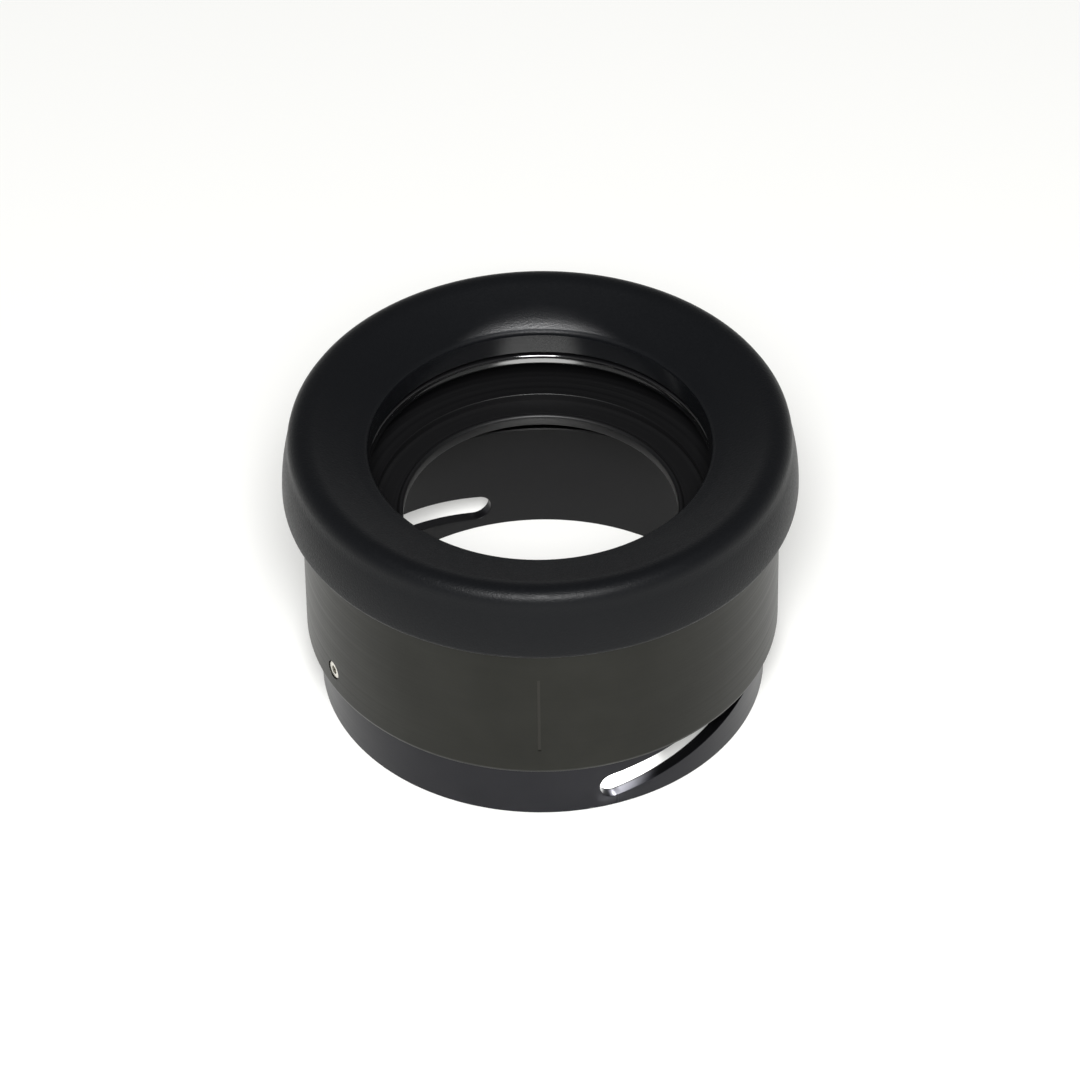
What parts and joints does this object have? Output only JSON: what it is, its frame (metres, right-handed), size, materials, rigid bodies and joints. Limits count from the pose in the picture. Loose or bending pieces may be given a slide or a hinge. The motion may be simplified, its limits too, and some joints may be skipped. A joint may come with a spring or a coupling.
{
  "type": "twist-up eyecup",
  "caption": "Round twist-up eyecup for an eyepiece: slotted tube, sleeve on guide screws and a rubber eye ring.",
  "frame": {"origin": "centre of the helix tube's foot, at the bottom of the part", "axes": "+Z along the optical axis towards the eye; -Y is the side with the index line"},
  "size_m": [0.052, 0.052, 0.032],
  "materials": {
    "anodised_tube": "satin black anodised",
    "anodised_sleeve": "satin black anodised, finely turned",
    "ptfe": "waxy white",
    "screw_steel": "bright",
    "nylon": "natural nylon",
    "blackened_baffle": "matt black",
    "gloss_black_carrier": "glossy black anodised",
    "eye_rubber": "matt, fine grain"
  },
  "bodies": {
    "tube": {"helix_tube": "anodised_tube"},
    "glide": {"glide_ring": "ptfe"},
    "cup": {"outer_sleeve": "anodised_sleeve", "guide_screw_left": "screw_steel", "guide_screw_right": "screw_steel", "guide_bush_left": "nylon", "guide_bush_right": "nylon", "baffle_ring": "blackened_baffle", "baffle_lock_ring": "blackened_baffle", "carrier_ring": "gloss_black_carrier", "eye_ring": "eye_rubber"}
  },
  "joints": [
    {"name": "cup_rise", "type": "slide", "parent": "tube", "child": "glide", "axis": [0, 0, 1], "range_m": [-0.0069, 0]},
    {"name": "cup_twist", "type": "hinge", "parent": "glide", "child": "cup", "pos_m": [0, 0, 0.0097], "axis": [0, 0, 1], "range_deg": [-100, 0]}
  ],
  "couplings": [
    {"joint": "cup_rise", "follows": "cup_twist", "m_per_rad": 0.0039534}
  ]
}
